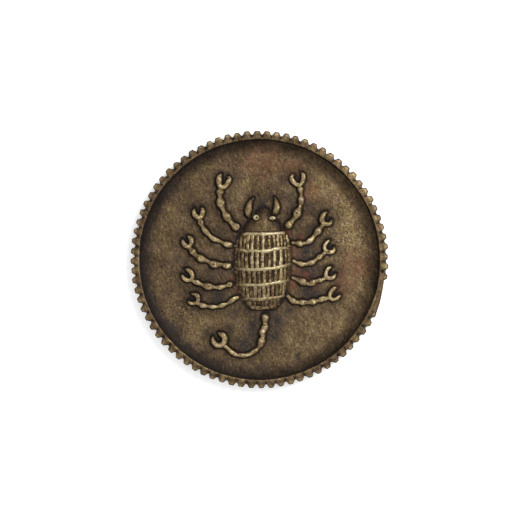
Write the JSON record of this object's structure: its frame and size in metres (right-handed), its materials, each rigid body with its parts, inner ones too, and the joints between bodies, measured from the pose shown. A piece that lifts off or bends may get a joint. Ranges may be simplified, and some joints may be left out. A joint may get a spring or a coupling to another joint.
{
  "type": "transit token",
  "caption": "Round aged brass token with a toothed rim and a dished face, carrying a scorpion in high relief with beaded legs, small open claws and a curled tail.",
  "frame": {"origin": "centre of the flat back face", "axes": "+Z out of the face that carries the relief, +Y towards the scorpion's jaws"},
  "size_m": [0.028, 0.028, 0.0025],
  "materials": {
    "field": "aged, finely scratched",
    "rim": "aged, rubbed bright on the high places",
    "relief": "rubbed bright on top, dark in the recesses",
    "recess": "dark patina"
  },
  "bodies": {
    "root": {"field_plate": "field", "toothed_rim": "rim", "body_core": "recess", "cross_band_1": "relief", "cross_band_2": "relief", "cross_band_3": "relief", "cross_band_4": "relief", "cross_band_5": "relief", "cross_band_6": "relief", "rib_row_1": "relief", "rib_row_2": "relief", "rib_row_3": "relief", "rib_row_4": "relief", "rib_row_5": "relief", "head": "recess", "eye_left": "relief", "eye_right": "relief", "jaw_left": "relief", "jaw_right": "relief", "leg_left_1": "relief", "leg_left_2": "relief", "leg_left_3": "relief", "leg_left_4": "relief", "leg_left_5": "relief", "leg_right_1": "relief", "leg_right_2": "relief", "leg_right_3": "relief", "leg_right_4": "relief", "leg_right_5": "relief", "claw_left_1": "relief", "claw_left_2": "relief", "claw_left_3": "relief", "claw_left_4": "relief", "claw_left_5": "relief", "claw_right_1": "relief", "claw_right_2": "relief", "claw_right_3": "relief", "claw_right_4": "relief", "claw_right_5": "relief", "tail": "relief", "tail_claw": "relief"}
  },
  "joints": []
}
